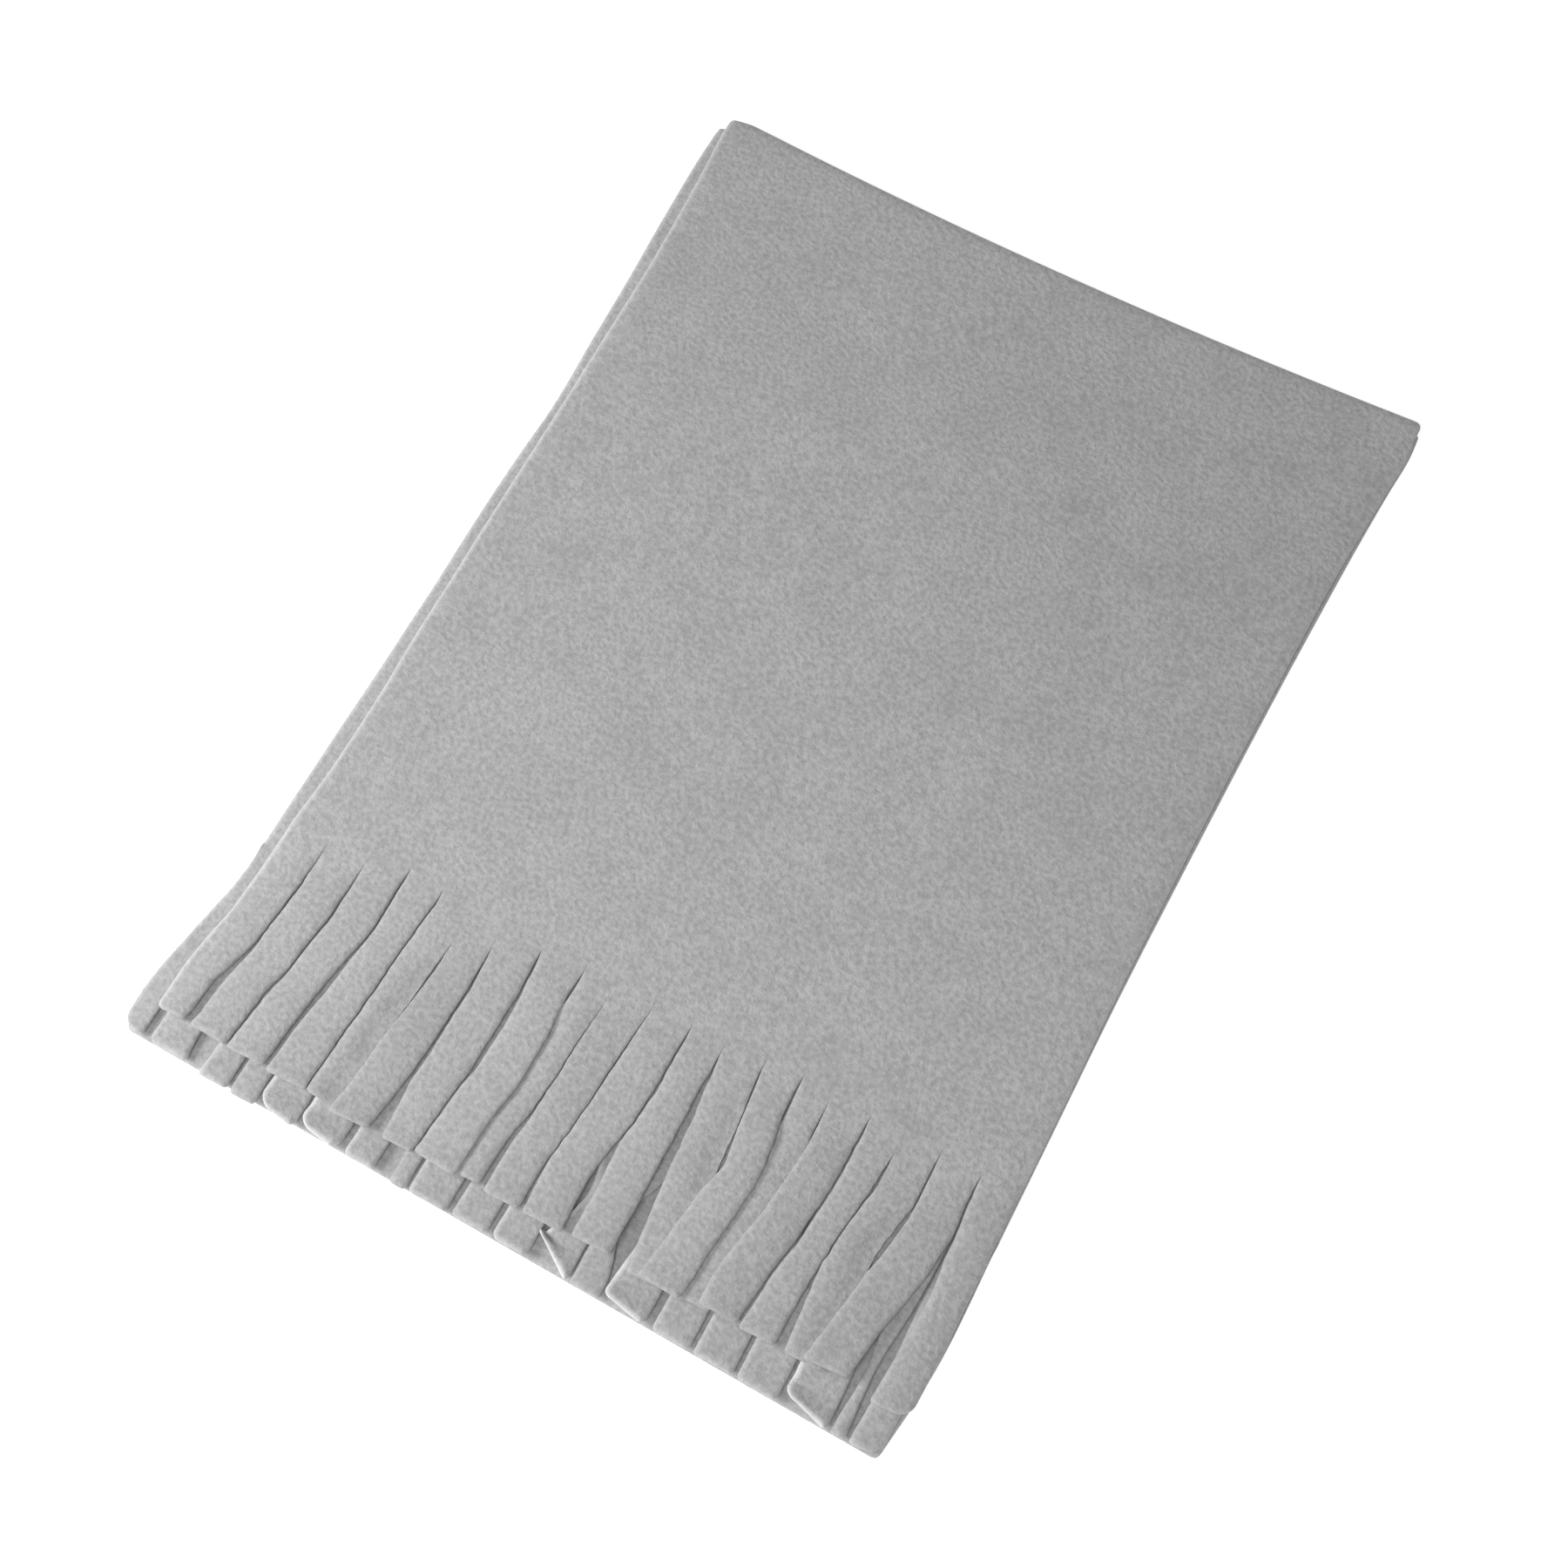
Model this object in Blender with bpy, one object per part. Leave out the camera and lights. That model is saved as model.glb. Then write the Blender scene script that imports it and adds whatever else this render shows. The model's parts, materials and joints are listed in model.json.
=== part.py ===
"""A fleece throw with a cut fringe at both ends, folded into four plies.

The throw is one long rectangle of polar fleece. It is folded end to end, then in half again, so
both fringes lie at the front, one over the other, and three folds join the four plies:

    top ply and its fringe      \\
    second ply and its fringe    \\ inner back fold   \\ outer back fold
    third ply                    /                    /
    bottom ply, joined to the third ply by the front fold

+X runs across the throw, +Y towards the back folds and +Z up. The throw lies on Z = 0.
"""
import math

import bmesh
import bpy
from mathutils import Vector

# Driving dimensions, in metres.
CLOTH_WIDTH = 0.300
CLOTH_THICKNESS = 0.0024
FOLDED_LENGTH = 0.426
FRINGE_LENGTH = 0.081
FRINGE_STEP = 0.0126        # the second fringe's tips reach this far past the top fringe's
FRONT_FOLD_SET_BACK = 0.001  # the front fold lies this far behind the second fringe's tips
WAIST = 0.004               # the long edges curve in this far, halfway along
LEAN = 0.005                # the fringes' tips swing this far to the left
PLY_SLIDE = 0.001           # the top ply sits this far right of centre, the others left

# Clearances, in metres.
PLY_GAP = 0.0004            # between one ply and the next
END_GAP = 0.0003            # where two pieces of the cloth meet end to end
SLIT_GAP = 0.0006           # between two strips of a fringe

# Widths of the hand-cut strips from left to right, in millimetres at the roots.
TOP_STRIP_WIDTHS = (15.5, 15.3, 16.1, 14.4, 14.1, 12.7, 16.1, 16.6, 13.3, 14.6,
                    16.5, 12.9, 15.5, 13.8, 12.6, 14.9, 14.3, 12.6, 15.6, 15.5)
SECOND_STRIP_WIDTHS = (13.5, 15.5, 14.5, 14.0, 15.5, 16.0, 14.5, 13.5, 15.5, 14.5,
                       15.0, 16.0, 14.0, 15.5, 14.5, 15.0, 15.5, 16.5, 13.5, 14.0)

# Mesh steps.
EDGE_STEPS = 12             # straight steps along each curved long edge
OUTER_FOLD_STEPS = 12
INNER_FOLD_STEPS = 8

# Places worked out from the dimensions above.
PITCH = CLOTH_THICKNESS + PLY_GAP
BOTTOM, THIRD, SECOND, TOP = range(4)
BACK_END_Y = FOLDED_LENGTH / 2
SECOND_TIP_Y = -FOLDED_LENGTH / 2
TOP_TIP_Y = SECOND_TIP_Y + FRINGE_STEP
TOP_ROOT_Y = TOP_TIP_Y + FRINGE_LENGTH
SECOND_ROOT_Y = SECOND_TIP_Y + FRINGE_LENGTH
OUTER_FOLD_RADIUS = 1.5 * PITCH + CLOTH_THICKNESS / 2
INNER_FOLD_RADIUS = 0.5 * PITCH + CLOTH_THICKNESS / 2
BACK_AXIS_Y = BACK_END_Y - OUTER_FOLD_RADIUS
BACK_AXIS_Z = 1.5 * PITCH + CLOTH_THICKNESS / 2
FRONT_AXIS_Y = SECOND_TIP_Y + FRONT_FOLD_SET_BACK + INNER_FOLD_RADIUS
FRONT_AXIS_Z = 0.5 * PITCH + CLOTH_THICKNESS / 2


def ply_base(ply):
    """Height of a ply's underside."""
    return ply * PITCH


def ply_centre(ply):
    """X of a ply's middle line, which also centres the whole throw over the leaning fringes."""
    slide = PLY_SLIDE if ply == TOP else -PLY_SLIDE
    return slide + LEAN / 2


def half_width(y):
    """Half the cloth's width at y: full at both ends, narrowest halfway along."""
    return CLOTH_WIDTH / 2 - WAIST * (1 - (y / BACK_AXIS_Y) ** 2)


def clear_scene():
    """Start from an empty scene."""
    for old in list(bpy.data.objects):
        bpy.data.objects.remove(old, do_unlink=True)


def make_fleece():
    """Soft grey fleece, the same on every piece."""
    fleece = bpy.data.materials.new("fleece")
    fleece.use_nodes = True
    shader = fleece.node_tree.nodes["Principled BSDF"]
    shader.inputs["Base Color"].default_value = (0.40, 0.40, 0.405, 1.0)
    shader.inputs["Roughness"].default_value = 0.95
    shader.inputs["Metallic"].default_value = 0.0
    shader.inputs["Sheen Weight"].default_value = 0.3
    return fleece


def make_pivot(name, place):
    """An empty on a joint's axis, for the pieces that turn about it."""
    pivot = bpy.data.objects.new(name, None)
    pivot.location = place
    bpy.context.collection.objects.link(pivot)
    return pivot


def extrude_outline(name, outline, travel, fleece, origin=(0, 0, 0), pivot=None):
    """A closed solid: a flat outline of world points, drawn out along travel."""
    shape = bmesh.new()
    origin = Vector(origin)
    face = shape.faces.new([shape.verts.new(Vector(point) - origin) for point in outline])
    grown = bmesh.ops.extrude_face_region(shape, geom=[face])["geom"]
    moved = [item for item in grown if isinstance(item, bmesh.types.BMVert)]
    bmesh.ops.translate(shape, verts=moved, vec=travel)
    bmesh.ops.recalc_face_normals(shape, faces=shape.faces)
    mesh = bpy.data.meshes.new(name)
    shape.to_mesh(mesh)
    shape.free()
    mesh.shade_smooth()
    mesh.set_sharp_from_angle(angle=math.radians(40))
    mesh.materials.append(fleece)
    piece = bpy.data.objects.new(name, mesh)
    piece.location = origin
    if pivot is not None:
        piece.parent = pivot
        piece.location = origin - pivot.location
    bpy.context.collection.objects.link(piece)
    return piece


def make_ply(name, ply, front_y, back_y, fleece, origin=(0, 0, 0), pivot=None):
    """One flat ply between two y values, with the cloth's curved long edges."""
    front_y += END_GAP
    back_y -= END_GAP
    rows = [front_y + (back_y - front_y) * step / EDGE_STEPS for step in range(EDGE_STEPS + 1)]
    middle = ply_centre(ply)
    right = [(middle + half_width(y), y, ply_base(ply)) for y in rows]
    left = [(middle - half_width(y), y, ply_base(ply)) for y in reversed(rows)]
    lift = (0, 0, CLOTH_THICKNESS)
    return extrude_outline(name, right + left, lift, fleece, origin, pivot)


def make_fold(name, ply, axis_y, axis_z, outer_radius, steps, facing, fleece):
    """A half tube of cloth around a fold's axis, open towards the plies that it joins."""
    inner_radius = outer_radius - CLOTH_THICKNESS
    left_x = ply_centre(ply) - CLOTH_WIDTH / 2
    turns = [math.pi * (step / steps - 0.5) for step in range(steps + 1)]

    def arc(radius, angles):
        return [(left_x, axis_y + facing * radius * math.cos(angle),
                 axis_z + radius * math.sin(angle)) for angle in angles]

    outline = arc(outer_radius, turns) + arc(inner_radius, reversed(turns))
    return extrude_outline(name, outline, (CLOTH_WIDTH, 0, 0), fleece)


def make_fringe(prefix, ply, widths, root_y, tip_y, fleece, pivot):
    """A row of straight strips that share the cloth's width, each hinged along its root."""
    middle = ply_centre(ply)
    total = sum(widths)
    cut = 0.0
    for number, width in enumerate(widths, start=1):
        sides = (2 * cut / total - 1, 2 * (cut + width) / total - 1)
        cut += width
        root_left, root_right = (middle + side * half_width(root_y) for side in sides)
        tip_left, tip_right = (middle - LEAN + side * half_width(tip_y) for side in sides)
        trim = SLIT_GAP / 2
        base = ply_base(ply)
        outline = [(root_left + trim, root_y, base), (tip_left + trim, tip_y, base),
                   (tip_right - trim, tip_y, base), (root_right - trim, root_y, base)]
        hinge = ((root_left + root_right) / 2, root_y, base + CLOTH_THICKNESS)
        lift = (0, 0, CLOTH_THICKNESS)
        extrude_outline(f"{prefix}_{number:02d}", outline, lift, fleece, hinge, pivot)


def make_lower_half(fleece):
    """The two plies that stay on the table, and the folds at their ends."""
    make_ply("bottom_ply", BOTTOM, FRONT_AXIS_Y, BACK_AXIS_Y, fleece)
    make_ply("third_ply", THIRD, FRONT_AXIS_Y, BACK_AXIS_Y, fleece)
    make_fold("front_fold", BOTTOM, FRONT_AXIS_Y, FRONT_AXIS_Z, INNER_FOLD_RADIUS,
              INNER_FOLD_STEPS, -1, fleece)
    make_fold("back_fold_inner", THIRD, BACK_AXIS_Y, BACK_AXIS_Z, INNER_FOLD_RADIUS,
              INNER_FOLD_STEPS, 1, fleece)
    make_fold("back_fold_outer", BOTTOM, BACK_AXIS_Y, BACK_AXIS_Z, OUTER_FOLD_RADIUS,
              OUTER_FOLD_STEPS, 1, fleece)


def make_upper_half(fleece):
    """The two fringed plies, which open together about the back folds' axis."""
    hinge = (0, BACK_AXIS_Y, BACK_AXIS_Z)
    pivot = make_pivot("upper_half_pivot", hinge)
    make_ply("second_ply", SECOND, SECOND_ROOT_Y, BACK_AXIS_Y, fleece, hinge, pivot)
    make_ply("top_ply", TOP, TOP_ROOT_Y, BACK_AXIS_Y, fleece, hinge, pivot)
    make_fringe("second_strip", SECOND, SECOND_STRIP_WIDTHS, SECOND_ROOT_Y, SECOND_TIP_Y,
                fleece, pivot)
    make_fringe("top_strip", TOP, TOP_STRIP_WIDTHS, TOP_ROOT_Y, TOP_TIP_Y, fleece, pivot)


def main():
    clear_scene()
    fleece = make_fleece()
    make_lower_half(fleece)
    make_upper_half(fleece)
    bpy.context.view_layer.update()


main()
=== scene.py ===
"""Looks for the folded fleece throw: soft plies, rolled folds and two hand-cut fringes."""

import json
import math

import bpy
import numpy as np
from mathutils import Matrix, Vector, noise


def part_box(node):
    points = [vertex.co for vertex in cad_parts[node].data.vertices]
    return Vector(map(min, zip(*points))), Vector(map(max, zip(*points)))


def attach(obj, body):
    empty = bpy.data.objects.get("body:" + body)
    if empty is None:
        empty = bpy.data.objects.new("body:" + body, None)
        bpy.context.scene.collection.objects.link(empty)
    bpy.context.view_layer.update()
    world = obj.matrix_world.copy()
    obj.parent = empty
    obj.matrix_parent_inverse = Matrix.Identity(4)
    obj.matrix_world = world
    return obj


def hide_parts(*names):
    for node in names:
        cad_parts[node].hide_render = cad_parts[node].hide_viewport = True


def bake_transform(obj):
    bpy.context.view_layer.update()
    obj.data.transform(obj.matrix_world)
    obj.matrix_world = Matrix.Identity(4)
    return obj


bl_info = {
    "name": "Folded Fleece Throw",
    "version": (1, 0, 0),
    "blender": (4, 5, 0),
    "location": "View3D > Sidebar > Throw",
    "description": "Builds the soft plies, folds and fringes of a folded fleece throw",
    "category": "Add Mesh",
}

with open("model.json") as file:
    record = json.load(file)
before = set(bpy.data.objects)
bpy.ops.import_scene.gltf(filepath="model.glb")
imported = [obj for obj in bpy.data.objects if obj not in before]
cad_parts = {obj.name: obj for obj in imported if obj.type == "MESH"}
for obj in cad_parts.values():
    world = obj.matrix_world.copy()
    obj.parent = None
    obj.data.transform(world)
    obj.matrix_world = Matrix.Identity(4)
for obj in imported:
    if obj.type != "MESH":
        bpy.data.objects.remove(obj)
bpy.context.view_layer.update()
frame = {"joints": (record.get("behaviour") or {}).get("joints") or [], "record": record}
MM = 0.001


def joint_place(name):
    """Where a joint of the frame sits at rest."""
    return Vector(next(j["pos_m"] for j in frame["joints"] if j["name"] == name))


def body_of_node(node):
    """The moving body that a node of the frame belongs to."""
    groups = frame["record"]["behaviour"]["bodies"]
    return next(body for body, nodes in groups.items() if node in nodes)


# Places read from the frame, in metres.
CLOTH_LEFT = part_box("top_ply")[0].x
CLOTH_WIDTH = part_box("top_ply")[1].x - CLOTH_LEFT
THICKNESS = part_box("top_ply")[1].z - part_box("top_ply")[0].z
BACK_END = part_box("back_fold_outer")[1].y
BACK_AXIS = joint_place("upper_half_unfolds")
TOP_ROOT = joint_place("fringe_01_lifts")
TOP_TIP_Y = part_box("top_strip_01")[0].y
SECOND_ROOT_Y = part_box("second_strip_01")[1].y
SECOND_TIP_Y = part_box("second_strip_01")[0].y
FRONT_AXIS_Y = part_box("front_fold")[1].y
LEVELS = {ply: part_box(ply)[0].z + THICKNESS / 2
          for ply in ("bottom_ply", "third_ply", "second_ply", "top_ply")}
STACK_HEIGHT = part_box("top_ply")[1].z
TOP_SLITS_Y = TOP_ROOT.y + 8.0 * MM      # the longest slits start here, behind the hinge line

# How the cloth is meshed, in metres.
MESH_STEP = 3.0 * MM
RIM_RADIUS = 2.2 * MM        # how far in from a cut edge the cloth starts to round over
RIM_COLUMNS = (0.0, 0.15, 0.5, 1.2, 2.2)   # millimetres in from a cut edge
RIM_BLUNT = 0.30             # share of the thickness that is left at a cut edge
RIM_SHARE = 0.45             # the most of a narrow piece's width that one rim takes up
PALE_EDGE_AND_HIGHLIGHT_REACH = 2.6 * MM         # how far in from a cut edge the cloth's paler inside and its painted highlight show
PLY_CORE_AND_HIGHLIGHT = (0.42, 0.3, 0.5)  # how strongly they show at a ply's left edge, right edge and end; more at the left edge than the right, as painted highlight where the light falls from the left
SLANT_REACH = 12.0 * MM      # how far back from a slanted tip the cloth is drawn askew
SHARP_ANGLE = math.radians(62)

# The long edges of each ply, as (millimetres from the back end, millimetres from the
# cloth's left edge). The cloth draws in halfway along, and the plies don't quite line up.
TOP_LEFT = ((0, -2.0), (30, 0.6), (66, 3.1), (127, 4.4), (187, 4.8), (248, 5.5), (278, 6.3),
            (312, 5.9), (333, 4.4))
TOP_RIGHT = ((0, 298.6), (11, 300.4), (29, 299.4), (66, 297.2), (127, 296.3), (187, 295.9),
             (248, 296.4), (309, 298.0), (333, 298.4))
SECOND_LEFT = ((0, -4.9), (20, -5.2), (50, -4.0), (80, -2.1), (110, -0.9), (140, 0.4), (170, -0.5),
               (260, -0.5), (290, -1.0), (345, -1.6))
SECOND_RIGHT = ((0, 300.2), (11, 301.0), (29, 300.0), (50, 299.1), (80, 298.3), (127, 297.5),
                (187, 297.2), (260, 297.5), (290, 298.2), (345, 299.4))
THIRD_LEFT = ((0, -4.6), (20, -4.9), (50, -3.7), (110, -0.7), (140, 0.5), (170, -0.2),
              (260, -0.1), (345, -1.0), (395, -6.3), (426, -9.2))
THIRD_RIGHT = ((0, 299.8), (11, 300.5), (29, 299.4), (80, 297.7), (127, 296.9), (187, 296.7),
               (260, 297.0), (345, 299.2), (395, 299.8), (426, 296.4))
BOTTOM_LEFT = ((0, -4.4), (20, -4.7), (50, -3.6), (110, -0.4), (140, 0.8), (170, 0.1), (260, 0.2),
               (345, -0.6), (395, -5.8), (426, -8.6))
BOTTOM_RIGHT = ((0, 299.4), (11, 300.1), (29, 299.0), (80, 297.3), (127, 296.5), (187, 296.3),
                (260, 296.6), (345, 298.8), (395, 299.4), (426, 296.0))

# The strips of the top fringe, left to right. First its width at the root, then its stops: how
# far along (0 root, 1 tip), how far its middle line has swung, and its width there, in
# millimetres. Between stops a strip runs straight, and it bends softly at each.
TOP_STRIPS = (
    (16.8, ((0.26, -0.9, 15.7), (0.50, -2.2, 15.5), (0.60, -3.8, 15.6), (0.78, -7.0, 13.1),
            (1.0, -7.9, 11.7))),
    (16.2, ((0.30, -0.9, 15.8), (0.59, -3.2, 15.3), (0.72, -5.7, 14.8), (1.0, -8.0, 15.0))),
    (15.8, ((0.28, -0.3, 15.2), (0.59, -4.0, 13.5), (0.75, -6.1, 14.8), (1.0, -8.1, 15.2))),
    (14.7, ((0.25, -0.6, 13.0), (0.55, -2.9, 13.9), (0.75, -4.7, 15.3), (1.0, -5.7, 16.7))),
    (14.0, ((0.25, -1.5, 13.2), (0.60, -3.6, 12.7), (0.80, -4.9, 12.0), (1.0, -6.2, 11.6))),
    (12.5, ((0.25, -0.3, 13.2), (0.54, -1.7, 15.3), (0.75, -3.5, 15.6), (1.0, -6.2, 15.3))),
    (16.5, ((0.25, 0.7, 15.8), (0.60, 0.2, 15.3), (0.72, -0.8, 15.5), (1.0, -0.9, 12.2))),
    (17.0, ((0.30, 1.4, 15.6), (0.56, 1.0, 16.4), (0.73, -1.3, 16.7), (1.0, -2.6, 17.3))),
    (12.5, ((0.25, -1.9, 13.3), (0.60, -3.4, 13.4), (0.73, -5.6, 13.4), (1.0, -6.8, 13.4))),
    (15.5, ((0.25, -1.4, 14.5), (0.60, -2.7, 14.4), (0.75, -4.3, 13.9), (1.0, -4.9, 13.6))),
    (15.5, ((0.45, -1.5, 16.8), (0.60, -3.6, 15.7), (0.75, -4.8, 14.7), (1.0, -4.1, 15.5))),
    (13.5, ((0.30, 0.3, 13.0), (0.57, -0.5, 16.1), (0.75, 0.0, 15.4), (1.0, 0.2, 15.1))),
    (15.5, ((0.25, 2.2, 15.2), (0.45, 3.6, 15.2), (0.75, 5.9, 15.2), (1.0, 8.6, 14.9))),
    (14.0, ((0.25, 2.6, 13.6), (0.43, 4.4, 12.6), (0.56, 2.4, 14.6), (1.0, -1.4, 16.1))),
    (12.0, ((0.25, 0.6, 13.0), (0.50, 0.6, 13.3), (0.75, -1.1, 13.5), (1.0, -2.4, 13.6))),
    (15.0, ((0.25, 0.3, 14.6), (0.50, -1.5, 14.7), (0.80, -5.5, 15.7), (1.0, -6.4, 14.6))),
    (13.0, ((0.25, -0.3, 11.4), (0.50, -2.3, 9.7), (0.75, -4.4, 12.0), (1.0, -5.3, 13.3))),
    (14.0, ((0.20, 0.3, 13.8), (0.40, -2.8, 13.2), (0.60, -3.8, 14.4), (1.0, -1.6, 13.4))),
    (15.5, ((0.22, 0.8, 15.4), (0.42, -0.7, 16.2), (0.58, -3.0, 16.4), (0.75, -5.6, 15.5),
            (1.0, -8.4, 16.2))),
    (14.5, ((0.30, 1.2, 13.3), (0.50, 2.3, 11.9), (0.70, 2.3, 12.9), (1.0, 1.5, 14.0))),
)
# Where a strip's left or right edge rides up over its neighbour: (edge, along, millimetres).
# The covered cloth is pressed thin, so 1.5 mm lifts an edge clear of the strip it lies on.
TOP_LAPS = {
    3: (("right", 0.6, 0.2),), 4: (("left", 0.7, 0.1),),
    6: (("left", 0.35, 0.9), ("left", 0.55, 1.5), ("left", 1.0, 1.6), ("right", 1.0, 0.3)),
    8: (("left", 0.5, 0.1), ("left", 0.75, 0.5), ("right", 0.25, 1.1), ("right", 0.45, 1.6),
        ("right", 1.0, 1.6)),
    10: (("left", 0.15, 0.35), ("left", 0.5, 0.4), ("left", 0.7, 0.1)),
    11: (("left", 0.7, 0.4), ("right", 0.3, 0.2)),
    12: (("right", 0.7, 0.6), ("left", 0.8, 0.2), ("right", 1.0, 0.8)),
    14: (("left", 0.25, 0.9), ("left", 0.42, 1.5), ("left", 1.0, 1.7), ("right", 0.25, 1.5),
         ("right", 1.0, 1.7)),
    16: (("left", 0.25, 1.2), ("left", 0.45, 1.6), ("left", 1.0, 1.7), ("right", 0.8, 0.3)),
    18: (("left", 0.6, 0.5), ("right", 0.15, 0.1)),
    19: (("left", 0.3, 1.2), ("left", 0.5, 1.6), ("left", 1.0, 1.7), ("right", 1.0, 0.8)),
}
# The slits of the top fringe, left to right, in millimetres: how far past the hinge line each
# starts, over what length it opens, and how wide it then is where no strip has swung away.
TOP_SLITS = ((-1, 15, 0.45), (-2, 14, 0.55), (-6, 9, 0.75), (-5, 9, 0.60), (9, 12, 0.25),
             (0, 24, 0.40), (-2, 7, 0.85), (-4, 9, 0.75), (-1, 16, 0.16), (-8, 24, 0.50),
             (-4, 9, 0.70), (-4, 12, 0.50), (-6, 11, 0.60), (-8, 11, 0.75), (-3, 12, 0.55),
             (-6, 10, 0.75), (-1, 18, 0.35), (-7, 11, 0.60), (-6, 10, 0.75))
# The covered edges: how far along a strip the pressing starts and is complete.
TOP_PRESSED = {5: (("right", 0.2, 0.4),), 9: (("left", 0.1, 0.3),), 13: (("right", 0.1, 0.3),),
               15: (("left", 0.08, 0.25), ("right", 0.1, 0.35)), 18: (("right", 0.15, 0.4),)}
PRESSED_SHARE = 0.5          # the share of its thickness that covered cloth keeps
PRESSED_REACH = 6.5 * MM     # how far in from a covered edge the cloth is pressed
# Tips of the same strips: millimetres longer than the fringe, and the slant of the cut.
TOP_TIPS = ((1.0, 0.4), (1.1, -0.3), (1.3, 0.5), (1.6, 0.6), (1.2, -0.4), (3.0, 1.2), (1.8, 0.3),
            (1.2, -0.6), (0.2, 0.8), (0.6, 0.4), (0.2, 0.5), (-1.2, 0.3), (0.4, 0.9), (-0.2, -0.5),
            (-1.2, 0.4), (-2.4, 0.3), (-2.0, 0.5), (-2.4, 0.4), (-3.6, 1.4), (-2.2, 0.6))

# The strips of the second fringe: root width, left and right edge at the tip in millimetres
# from the cloth's left edge, how far those edges curl up, the slant of the cut, and the
# radii of the tip's left and right corners.
SECOND_STRIPS = (
    (13.5, -10.6, -0.6, 0.5, 0.2, 0.6, 7.0, 1.0),
    (15.5, 2.4, 19.3, 0.4, 0.0, 0.2, 2.5, 1.5),
    (14.5, 24.3, 37.2, 0.8, 0.3, 0.2, 1.5, 1.5),
    (14.0, 38.2, 48.8, 0.0, 0.0, 0.3, 1.5, 1.0),
    (15.5, 49.4, 65.8, 1.6, 0.4, -1.0, 6.5, 2.5),
    (16.0, 66.4, 83.8, 2.3, 0.9, -1.0, 6.0, 4.5),
    (14.5, 86.0, 99.3, 1.0, 0.6, 0.4, 2.5, 1.5),
    (13.5, 104.0, 111.8, 0.0, 0.0, 0.0, 1.5, 1.5),
    (15.5, 112.6, 128.5, 0.5, 0.2, 0.2, 2.0, 1.5),
    (14.5, 130.3, 144.6, 0.4, 0.3, 0.2, 1.5, 1.5),
    (15.0, 146.3, 160.8, 1.0, 0.6, 0.3, 3.0, 2.5),
    (16.0, 160.4, 177.2, 2.2, 0.5, -9.0, 1.5, 1.5),
    (14.0, 177.6, 189.6, 0.0, 0.0, 0.0, 1.0, 1.0),
    (15.5, 190.0, 207.6, 2.0, 0.8, -2.0, 3.0, 2.5),
    (14.5, 210.0, 224.9, 0.5, 0.2, 0.2, 2.0, 1.5),
    (15.0, 226.1, 241.6, 0.4, 0.3, 0.2, 1.5, 1.5),
    (15.5, 242.7, 258.4, 0.3, 0.2, 0.0, 1.5, 1.5),
    (16.5, 259.2, 277.6, 2.6, 0.8, -3.2, 4.0, 2.0),
    (13.5, 278.4, 284.3, 0.0, 0.0, 0.4, 1.0, 1.0),
    (14.0, 285.2, 296.8, 0.3, 0.4, 0.4, 1.5, 6.5),
)
SECOND_LONGER = {3: 1.6, 4: 1.8, 5: 1.2, 6: 0.4, 7: 0.6, 8: 1.0, 9: 0.6}   # millimetres
# Slits of the second fringe that gape under an opening of the top one, so that it looks
# dark: (slit, where along it opens, how far along it is closed again, and how many
# millimetres the strip on its left and the one on its right draw back).
SECOND_GAPES = ((2, 0.60, 1.10, 1.3, 1.3), (7, 0.70, 1.20, 1.0, 1.0), (11, 0.30, 0.98, 0.0, 7.0),
                (13, 0.35, 0.95, 6.0, 1.5), (17, 0.10, 0.75, 0.0, 7.5), (18, 0.30, 1.0, 0.5, 2.0),
                (19, 0.35, 1.02, 1.5, 1.0))
STRIP_STEP = 1.1 * MM        # rows along a strip
BEND_REACH = 2.6 * MM        # how softly a strip bends at each of its stops
HELD_ROOT, HELD_TIP = 0.06, 0.04   # shares of a strip that keep its exact root and tip
WIDENING = (38.0, 30.0)      # where past the hinge a fine slit widens, and over what length (mm)
WANDER_LENGTH = 80.0 * MM    # the length of cut along which the scissors' wander is drawn
SLIT = 0.75 * MM             # width of a slit of the second fringe
BACK_FALL = 2.9 * MM         # how much lower the stack lies at its back fold
FALL_START = 90.0 * MM       # the y where it starts to fall away towards the back
CALM_REACH = 30.0 * MM       # how far in front of the back hinge the swells die away
FLARE_START = 1.3 * MM       # how far behind the hinge a back fold has its full flare
LEFT_CORNER = 1.3 * MM       # how far the rounded left corner of the back falls short
FRONT_REACH = 1.4 * MM       # how far the front fold lies out under the tips
TIP_RISE = 0.5 * MM          # how far the tips of the top fringe stand clear
PLAIN_CORNERS = (1.2, 1.2)   # millimetres: the radii of a top strip's two tip corners
TIP_CORNERS = {1: (2.4, 1.2), 20: (1.2, 6.0)}   # the strips whose corners differ

# The stage: metres, degrees and watts.
FLOOR_SIZE = 12.0
FLOOR_DROP = 0.0004          # how far the floor lies below the cloth
FLOOR_GLOW = 0.62            # light of its own, which keeps the floor white
STUDIO_LIGHT = 0.25
LAMPS = (("key_light", (-0.90, -0.36, 0.60), 0.45, 9.9),
         ("overhead_light", (0.05, -0.60, 0.95), 0.50, 6.1))
CAMERA_PLACE = (0.1719, -0.2246, 0.7543)
CAMERA_TURNS = (18.83, 3.38, 29.08)


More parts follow.
